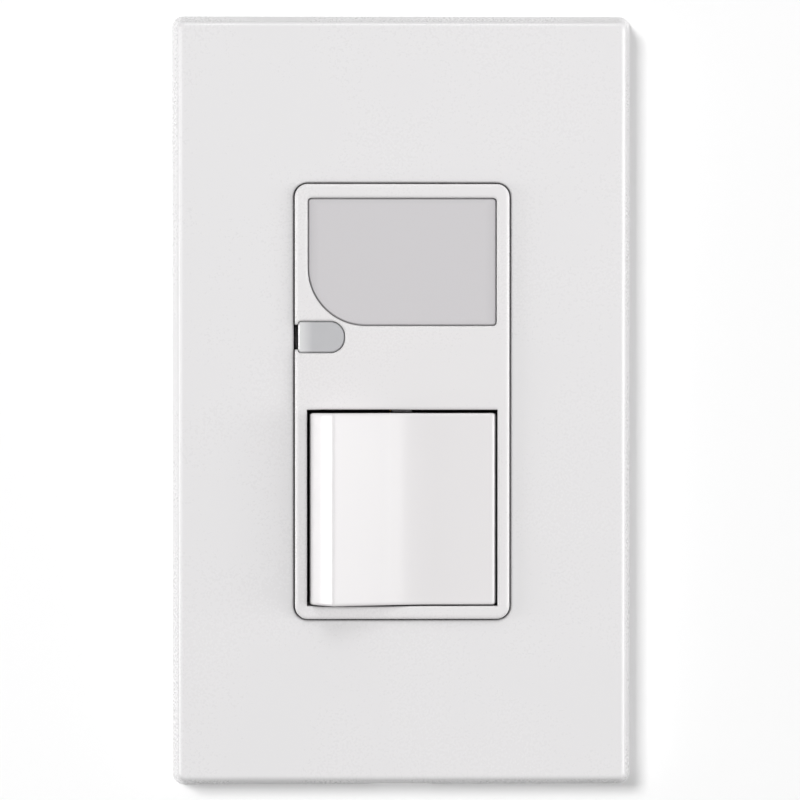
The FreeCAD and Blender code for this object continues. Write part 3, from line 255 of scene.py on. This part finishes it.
# Terminal screws, cold headed, one slot each: brass on the two hot terminals, nickel
# plated on the neutral. The clamp plates under their heads, which press the wires, and
# the four screws of the housing are zinc-plated steel.
screw_brass = plated("screw_brass", colour(0.7, 0.5, 0.22), 0.24, (4.0, 1.0, 1.0))
screw_brass.dress("hot_screws")
screw_nickel = plated("screw_nickel", colour(0.66, 0.65, 0.62), 0.2, (4.0, 1.0, 1.0))
screw_nickel.dress("neutral_screw")
clamp_zinc = plated("clamp_zinc", colour(0.6, 0.61, 0.62), 0.34, (1.0, 5.0, 1.0))
clamp_zinc.dress("wire_clamps", "assembly_screws")

# Ground screw: steel, cold headed, with the green passivated coat that marks it, through
# which the metal shines. It is screwed upwards through the clip.
green_coat = plated("ground_green", colour(0.05, 0.27, 0.1), 0.3, (1.0, 1.0, 4.0))
green_coat.dress("ground_screw")

# Board of the guide light: glass-fibre laminate under green solder mask, whose weave
# shows faintly. It lies on a ledge of the housing.
radians_per_mm, thread_depth, mask_blotch = 9.0, 0.00002, 3.0
board = Finish("solder_mask", Roughness=0.35, Coat_Weight=0.4)
warp = board.point.math("SINE", board.axis("X") * radians_per_mm)
weft = board.point.math("SINE", board.axis("Z") * radians_per_mm)
board.relief(warp * weft * 0.5 + 0.5, thread_depth, 0.3)
board.colour(board.blend(board.noise(mask_blotch), colour(0.01, 0.11, 0.045),
                         colour(0.02, 0.16, 0.07)))
board.dress("led_board")

# Parts soldered to the board: three light sources with a drop of yellow phosphor, the
# dipped film capacitor, and black moulded bodies. Two tinned leads go to the terminals.
drop_depth = 0.41
emitter = Finish("light_source", Roughness=0.3, Subsurface_Weight=0.2)
phosphor_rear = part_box("guide_leds")[0].y * 1000 + drop_depth
dome = emitter.point.math("LESS_THAN", emitter.axis("Y"), phosphor_rear)
emitter.colour(emitter.blend(dome, colour(0.82, 0.82, 0.8), colour(0.85, 0.72, 0.2)))
emitter.dress("guide_leds")
dipped = moulded("dipped_film", colour(0.36, 0.03, 0.02), 0.22, grain=1.2)
dipped.dress("film_capacitor")
black_body = moulded("black_moulding", colour(0.02, 0.02, 0.022), 0.42, grain=0.3)
black_body.dress("electrolytic_capacitor", "bridge_rectifier", "transistor")
lead_tin = plated("tinned_lead", colour(0.68, 0.67, 0.65), 0.25, (1.0, 6.0, 1.0))
lead_tin.dress("board_leads")

# Resistors: carbon film on a ceramic rod under tan lacquer, with four painted rings. They
# lie along X. A ring's place and half width are shares of the body's length.
half_ring = 0.045
lacquer = Finish("resistor_lacquer", Roughness=0.38)
body_low, body_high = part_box("resistors")
share = (lacquer.axis("X") - body_low.x * 1000) / ((body_high.x - body_low.x) * 1000)
painted = colour(0.55, 0.4, 0.24)
for centre, ring in ((0.2, (0.35, 0.12, 0.02)), (0.36, (0.02, 0.02, 0.02)),
                     (0.52, (0.5, 0.3, 0.02)), (0.8, (0.45, 0.33, 0.08))):
    inside = share.math("COMPARE", share, centre, half_ring)
    painted = lacquer.blend(inside, painted, colour(*ring))
lacquer.colour(painted)
lacquer.dress("resistors")

# Light well of white plastic between the board and the lens; its walls throw the light
# forward. The face cover over it is the same resin: bezel, flange and bearings in one.
# Both are painted darker deep in narrow gaps: a painted shade.
device_white = moulded("device_white", colour(0.75, 0.736, 0.74), 0.28, edge=0.0008, gap_shade=0.06)
device_white.dress("light_well", "face_cover")

# Lens of the guide light: frosted, slightly grey acrylic that stays unlit by day. The
# frost is a fine etch, and its colour is painted darker towards its edges, a painted shade of the
# light well behind.
etch_size, etch_depth = 0.22, 0.00002
corner_blend, shade_from, shade_full = 0.04, 0.84, 0.98
frost = Finish("frosted_lens", IOR=1.49)
etch = frost.noise(etch_size, detail=4.0)
lens_low, lens_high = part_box("guide_light_lens")
lens_mid = (lens_low + lens_high) * 500.0
edge_x = abs(frost.axis("X") - lens_mid.x) / ((lens_high.x - lens_low.x) * 500.0)
edge_z = abs(frost.axis("Z") - lens_mid.z) / ((lens_high.z - lens_low.z) * 500.0)
border = edge_x.math("SMOOTH_MAX", edge_x, edge_z, corner_blend)
# Painted shade: the colour darkens from the middle towards the edges.
shade = border.node("ShaderNodeMapRange", {0: border, 1: shade_from, 2: shade_full}, clamp=True)
frost.relief(etch, etch_depth, 0.5)
frost.rough(0.5 + (etch - 0.5) * 0.15)
frost.colour(frost.blend(shade, colour(0.562, 0.547, 0.56), colour(0.5, 0.487, 0.5)))
frost.dress("guide_light_lens")

# Window over the light sensor: smoky, polished polycarbonate with a stem that pipes the
# daylight to the photosensor on the board. Towards the plate its colour is painted lighter, a
# painted highlight.
haze_size = 1.6
smoke = Finish("smoky_window", IOR=1.58, Coat_Weight=0.3)
haze = smoke.noise(haze_size)
window_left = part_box("sensor_window")[0].x * 1000
light_from, light_to = window_left - 0.2, window_left + 2.2
# Painted highlight: the colour is lighter at the window's end towards the plate.
inward = haze.node("ShaderNodeMapRange", {0: smoke.axis("X"), 1: light_from, 2: light_to},
                   clamp=True)
tint = smoke.blend(haze, colour(0.48, 0.48, 0.494), colour(0.45, 0.45, 0.464))
smoke.rough(0.16 + (haze - 0.5) * 0.08)
smoke.colour(smoke.blend(inward, colour(0.72, 0.72, 0.725), tint))
smoke.dress("sensor_window", "photosensor")

# Rocker: the same resin as the bezel, with a finer and glossier face. Its two trunnions
# clip between cover and housing, so it tilts sideways. Its face has 0.2 mm more room than
# the CAD part's at the left and 0.1 mm more at the right, but 0.12 mm less below.


def redrawn(name, source, material, shift):
    """A copy of a CAD node whose points are moved by what `shift` returns for them, all
    as rows of X, Y and Z in metres."""
    mesh = source.data.copy()
    mesh.name = name
    mesh.materials.clear()
    mesh.materials.append(material)
    flat = np.empty(3 * len(mesh.vertices), dtype=np.float32)
    mesh.vertices.foreach_get("co", flat)
    points = flat.reshape(-1, 3).astype(np.float64)
    mesh.vertices.foreach_set("co", (points + shift(points)).astype(np.float32).ravel())
    mesh.update()
    made = bpy.data.objects.new(name, mesh)
    bpy.context.scene.collection.objects.link(made)
    return made


def set_in_opening(points):
    """Move the face in its opening: its left and right edges inwards and its lower edge
    down. The shift changes evenly from the left edge to the right one and from the lower
    edge to none at the upper one, and fades out behind the bezel, so that the trunnions
    and the stem stay where they are."""
    half_wide, half_high, middle_z = 0.01435, 0.0148, -0.01625
    left, right, lower = 0.0002, -0.0001, -0.00012
    fade_rear, fade_length = -0.003, 0.002
    front = np.clip((fade_rear - points[:, 1]) / fade_length, 0.0, 1.0)
    along_x = np.clip(points[:, 0] / half_wide, -1.0, 1.0)
    along_z = np.clip((points[:, 2] - middle_z) / half_high, -1.0, 1.0)
    moved = np.zeros_like(points)
    moved[:, 0] = front * (left + right + (right - left) * along_x) / 2
    moved[:, 2] = front * lower * (1.0 - along_z) / 2
    return moved


def between(value, length):
    """A wire held between 0 and a length."""
    return value.math("MINIMUM", value.math("MAXIMUM", value, 0.0), length)


# The raised half bows a little: from its crest at the left it flattens towards its middle
# and steepens again beyond, each along a parabola, and the narrow rim outside the crest
# leans back less. All of it is a bump in mm.
rim_left, crest, flank_middle, flank_right = -13.6, -10.6, -3.0, -0.3
middle_curve, right_curve, rim_slope, millimetre = 0.0152, 0.0093, 0.06, 0.001
# Like the bezel, its colour is painted darker deep in narrow gaps: a painted shade.
rocker_white = moulded("rocker_white", colour(0.752, 0.735, 0.74), 0.22, grain=0.28,
                       edge=0.0005, gap_shade=0.04)
rocker_x = rocker_white.axis("X")
past_middle = between(flank_middle - rocker_x, flank_middle - crest)
past_right = between(flank_right - rocker_x, flank_right - crest)
on_rim = between(rocker_x - rim_left, crest - rim_left)
bow = (past_middle * past_middle * middle_curve - past_right * past_right * right_curve
       - on_rim * rim_slope)
rocker_white.relief(bow, millimetre, 1.0, rocker_white.skin)
rocker_white.dress("rocker")
rocker = redrawn("rocker_moulding", frame["nodes"]["rocker"], rocker_white.material,
                 set_in_opening)
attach(rocker, "rocker_body")
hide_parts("rocker")

# Plunger: turned from nylon and slid into the rocker's stem, where its rounded tip runs in
# the dish of the contact arm.
nylon = moulded("plunger_nylon", colour(0.7, 0.68, 0.6), 0.4, grain=0.5)
nylon.dress("spring_plunger")

# Spring behind the plunger: hard-drawn wire 0.4 mm thick, wound to a mean radius of
# 1.5 mm, with its first and last turn closed. It stands in the stem, which is turned by
# the rocker's tilt at rest.


def mesh_object(name, points, faces, material):
    """An object at the origin from vertices in the part's frame."""
    mesh = bpy.data.meshes.new(name)
    mesh.from_pydata(points.tolist(), [], faces)
    mesh.materials.append(material)
    mesh.shade_smooth()
    made = bpy.data.objects.new(name, mesh)
    bpy.context.scene.collection.objects.link(made)
    return made


def tube(name, centres, radius, sides, material):
    """A round wire along a path. Each ring stands square to the path: its points are the
    centre plus the radius times cosine and sine along two directions at right angles to
    the path's own. Both ends are closed with one flat face."""
    along = np.gradient(centres, axis=0)
    along /= np.linalg.norm(along, axis=1, keepdims=True)
    across = np.cross(along, [0.0, 1.0, 0.0])
    across /= np.linalg.norm(across, axis=1, keepdims=True)
    other = np.cross(along, across)
    turn = np.linspace(0.0, 2 * math.pi, sides, endpoint=False)[None, :, None]
    points = (centres[:, None] + radius * np.cos(turn) * across[:, None]
              + radius * np.sin(turn) * other[:, None])
    rings = len(centres)
    row, side = np.meshgrid(np.arange(rings - 1), np.arange(sides), indexing="ij")
    following = (side + 1) % sides
    quads = np.stack([row * sides + side, row * sides + following,
                      (row + 1) * sides + following, (row + 1) * sides + side], axis=-1)
    caps = [list(range(sides))[::-1], list(range((rings - 1) * sides, rings * sides))]
    return mesh_object(name, points.reshape(-1, 3), quads.reshape(-1, 4).tolist() + caps,
                       material)


wire_steel = plated("spring_wire", colour(0.42, 0.43, 0.44), 0.26, (1.0, 8.0, 1.0))
wire_radius, coil_radius = 0.0002, 0.0015
coil_front, coil_rear = -0.0047, 0.0019
open_turns, closed_turns = 4.6, 1.0
rings, sides = 420, 16
turns = np.linspace(0.0, open_turns + 2 * closed_turns, rings)
opened = np.clip((turns - closed_turns) / open_turns, 0.0, 1.0)
lift = (2 * wire_radius) * (np.clip(turns, 0.0, closed_turns)
                            + np.clip(turns - closed_turns - open_turns, 0.0, closed_turns))
free = coil_rear - coil_front - 4 * wire_radius * closed_turns
depth = coil_front + lift + free * opened
angle = 2 * math.pi * turns
rocker_joint = next(joint for joint in frame["joints"] if joint["name"] == "rocker_tilt")
pivot = np.array(rocker_joint["pos_m"])
tilt = math.radians(-rocker_joint["range_deg"][0] / 2)
spring_low, spring_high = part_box("rocker_spring")
local_x, local_z = coil_radius * np.cos(angle), coil_radius * np.sin(angle)
coil = np.stack([local_x * math.cos(tilt) - depth * math.sin(tilt),
                 pivot[1] + local_x * math.sin(tilt) + depth * math.cos(tilt),
                 (spring_low.z + spring_high.z) / 2 + local_z], axis=1)
spring = tube("spring_coil", coil, wire_radius, sides, wire_steel.material)
wire_steel.dress("rocker_spring")
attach(spring, "rocker_body")
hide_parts("rocker_spring")

# Screws of the device and the sub-plate: zinc-plated steel with rolled threads. The
# thread is a ridge in the finish: its height rises with the depth along the shank and
# turns once round it per pitch.
zinc = Finish("threaded_zinc", Metallic=1.0)
upright = zinc.axis("Z")
device_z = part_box("device_screws")
plate_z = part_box("subplate_screws")
head_radius = (plate_z[1].x - plate_z[0].x) * 500.0
device_place = device_z[1].z * 1000 - (device_z[1].x - device_z[0].x) * 500.0
plate_place = plate_z[1].z * 1000 - head_radius
outer = upright.math("GREATER_THAN", abs(upright), (device_place + plate_place) / 2)
axis_z = outer * (plate_place - device_place) + device_place
beside_z = upright - upright.math("SIGN", upright) * axis_z
beside_x = zinc.axis("X")
round_turn = beside_x.math("ARCTAN2", beside_z, beside_x) / (2 * math.pi)
pitch, ridge_depth, shank_front, scratch, blotch = 0.794, 0.0003, 1.0, 0.2, 1.8
ramp = zinc.axis("Y") / pitch - round_turn
ridge = ramp.math("PINGPONG", ramp, 0.5) * 2.0
shank = ramp.math("GREATER_THAN", zinc.axis("Y"), shank_front)
flank = zinc.noise(scratch, detail=3.0)
zinc.relief(ridge * shank + flank * 0.03, ridge_depth, 1.0)
zinc.rough(0.3 + (flank - 0.5) * 0.16)
zinc.colour(zinc.blend(zinc.noise(blotch), colour(0.6, 0.61, 0.63), colour(0.5, 0.51, 0.52)))
zinc.dress("device_screws", "subplate_screws")

# Retainers: squares punched from red-brown pressed fibre, pushed over the device screws to
# keep them in the strap until the switch is fastened.
fibre = moulded("pressed_fibre", colour(0.12, 0.045, 0.025), 0.75, grain=0.5)
fibre.dress("screw_retainers")

# Sub-plate: a matt white moulding screwed to the strap. The wall plate's hooks catch behind
# its edges, so no screw shows from the room.
carrier = moulded("subplate_white", colour(0.72, 0.715, 0.7), 0.5, grain=0.5)
carrier.dress("wallplate_subplate")

# Wall plate: a white, semi-gloss moulding with rounded edges that hooks on to the
# sub-plate. Its walls lean in 0.3 mm more at the sides and 0.45 mm more at the ends than
# the CAD part's, and its front is painted darker close to the device, a painted shade.


def lean_in(points):
    """Lean the outer walls in. The shift grows with the depth's share of the whole depth,
    which is 0 on the wall and 1 at the front, and rises from 0 beside the opening to its
    full size at the rim, along X and along Z."""
    lean = np.array([0.0003, 0.00045])
    inner, outer = np.array([0.02, 0.038]), np.array([0.033, 0.057])
    share = (points[:, 1] / points[:, 1].min())[:, None]
    across = points[:, [0, 2]]
    weight = np.clip((np.abs(across) - inner) / (outer - inner), 0.0, 1.0)
    moved = np.zeros_like(points)
    moved[:, [0, 2]] = -np.sign(across) * lean * share * weight
    return moved


shade_reach, side_end, front_start = 0.014, -5.6, -6.4
plate_white = moulded("plate_white", colour(0.747, 0.738, 0.744), 0.28, depth=0.000004)
plate_y = plate_white.axis("Y")
on_front = plate_y.node("ShaderNodeMapRange", {0: plate_y, 1: side_end, 2: front_start},
                        clamp=True)
# Painted shade: the front darkens where nearby parts of the device shut out its surroundings.
beside = (1.0 - plate_white.open_air(shade_reach, shut=0.0, free=1.0)) * on_front
plate_white.colour(plate_white.blend(beside, plate_white.clean, colour(0.41, 0.405, 0.408)))
plate_white.dress("wallplate_cover")
plate = redrawn("plate_moulding", frame["nodes"]["wallplate_cover"], plate_white.material,
                lean_in)
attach(plate, "device")
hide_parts("wallplate_cover")

# Stage: a matt white wall right behind the plate, open where the wall box sits and seen
# from the room's side only, and a floor. Both throw back little light, so that they don't
# brighten the plate's sides.


def in_sight(tree):
    """1 for a ray from the camera, straight or by way of metal or glass, else 0."""
    rays = tree.nodes.new("ShaderNodeLightPath").outputs
    direct = Wire(rays["Is Camera Ray"])
    mirrored = direct.math("MAXIMUM", direct, Wire(rays["Is Glossy Ray"]))
    return direct.math("MAXIMUM", mirrored, Wire(rays["Is Transmission Ray"]))


def paper(name, value, bounced, glow):
    """A plain matt stage surface: `value` is its brightness in sight, `bounced` what it
    throws back on the object, and `glow` is added in sight."""
    finish = Finish(name, Roughness=0.9, Emission_Strength=1.0)
    tree = finish.material.node_tree
    shown = in_sight(tree)
    finish.colour(finish.blend(shown, colour(bounced, bounced, bounced),
                               colour(value, value, value)))
    connect(finish.blend(shown, colour(0.0, 0.0, 0.0), colour(glow, glow, glow)),
            finish.shader.inputs["Emission Color"])
    return finish


wall_paint = paper("wall_paint", value=0.93, bounced=0.36, glow=0.0)
wall_tree = wall_paint.material.node_tree
from_behind = Wire(wall_tree.nodes.new("ShaderNodeNewGeometry").outputs["Backfacing"])
clear = from_behind.node("ShaderNodeBsdfTransparent", {})
one_sided = from_behind.node("ShaderNodeMixShader",
                             {0: from_behind, 1: Wire(wall_paint.shader.outputs[0]), 2: clear})
connect(one_sided, wall_tree.nodes["Material Output"].inputs["Surface"])
reach, floor_z, wall_y = 1.6, -0.9, 0.00005
box_x, box_z = 0.029, 0.052
# The wall is a grid of 4 by 4 points: its middle face is left out for the wall box.
columns, rows = np.meshgrid([-reach, -box_x, box_x, reach], [floor_z, -box_z, box_z, reach])
wall_points = np.stack([columns, np.full_like(rows, wall_y), rows], axis=-1).reshape(-1, 3)
first = np.add.outer(4 * np.arange(3), np.arange(3)).ravel()
corners = np.stack([first, first + 1, first + 5, first + 4], axis=1)
wall = mesh_object("stage_wall", wall_points, np.delete(corners, 4, axis=0).tolist(),
                   wall_paint.material)
floor_points = np.array([(-reach, -reach, floor_z), (reach, -reach, floor_z),
                         (reach, reach, floor_z), (-reach, reach, floor_z)])
floor = mesh_object("stage_floor", floor_points, [[0, 1, 2, 3]],
                    paper("floor_paint", value=0.8, bounced=0.36, glow=0.7).material)

# Light: two lamps at the left, three at the right and one above are for the device, and
# one behind is for its back. Two light the wall, the strong one from the upper left, so
# the plate's shadow falls to the lower right. The sky is a third as strong out of sight.


def bearing(azimuth, elevation):
    """The direction from the device to a place in the room, in degrees: azimuth 0 is
    straight in front of the wall and grows to the right."""
    turn, rise = math.radians(azimuth), math.radians(elevation)
    return Vector((math.sin(turn) * math.cos(rise), -math.cos(turn) * math.cos(rise),
                   math.sin(rise)))


def lamp(name, only, azimuth, elevation, power, width=0.4, height=0.4, distance=1.2,
         blocked_by=None):
    """An area light that faces the device. `only` is what it lights, and `blocked_by`
    what casts its shadows, if that isn't everything."""
    back = bearing(azimuth, elevation)
    data = bpy.data.lights.new(name, "AREA")
    data.shape = "RECTANGLE"
    data.size, data.size_y = width, height
    data.energy = power
    made = bpy.data.objects.new(name, data)
    made.location = back * distance
    made.rotation_mode = "QUATERNION"
    made.rotation_quaternion = (-back).to_track_quat("-Z", "Y")
    bpy.context.scene.collection.objects.link(made)
    made.light_linking.receiver_collection = only
    made.light_linking.blocker_collection = blocked_by


wall_only = bpy.data.collections.new("lit_wall")
wall_only.objects.link(wall)
wall_only.objects.link(floor)
object_only = bpy.data.collections.new("lit_object")
for piece in [*frame["nodes"].values(), spring, rocker, plate]:
    object_only.objects.link(piece)

lamp("side_left", object_only, azimuth=-80, elevation=-3, power=5.9)
lamp("front_left", object_only, azimuth=-38, elevation=6, power=3.8)
lamp("softbox_right", object_only, azimuth=41, elevation=5, power=3.75, width=0.7, height=0.5)
lamp("side_right", object_only, azimuth=67, elevation=0, power=5.6, width=0.5)
lamp("low_right", object_only, azimuth=88, elevation=5, power=1.4)
lamp("top", object_only, azimuth=0, elevation=52, power=3.0)
lamp("key_on_wall", wall_only, azimuth=-25, elevation=18, power=37.5, width=0.7, height=0.7,
     distance=2.4)
lamp("front_on_wall", wall_only, azimuth=-1.2, elevation=1, power=3.8, width=0.1, height=0.1,
     distance=1.5)
lamp("fill_rear", object_only, azimuth=180, elevation=0, power=9.0, width=0.35, height=0.35,
     blocked_by=object_only)

world = bpy.data.worlds.new("studio")
world.use_nodes = True
bpy.context.scene.world = world
sky = world.node_tree
sky_on_device = 0.33
strength = in_sight(sky) * (1.0 - sky_on_device) + sky_on_device
sky.nodes["Background"].inputs["Color"].default_value = colour(1.0, 1.0, 1.0)
connect(strength, sky.nodes["Background"].inputs["Strength"])

# Camera: a long lens a little left of the device and a little above it, 650 mm in front
# of the bezel, as in the photograph.
aim, away = Vector((-0.00035, -0.0073, 0.00026)), 0.65
towards = bearing(-1.2, 1.0)
camera_data = bpy.data.cameras.new("camera")
camera_data.sensor_width = 36.0
camera_data.lens = 191.0
camera = bpy.data.objects.new("camera", camera_data)
bpy.context.scene.collection.objects.link(camera)
camera.location = aim + towards * away
camera.rotation_mode = "QUATERNION"
camera.rotation_quaternion = (-towards).to_track_quat("-Z", "Y")
bpy.context.scene.camera = camera
bpy.context.scene.view_settings.view_transform = "Standard"
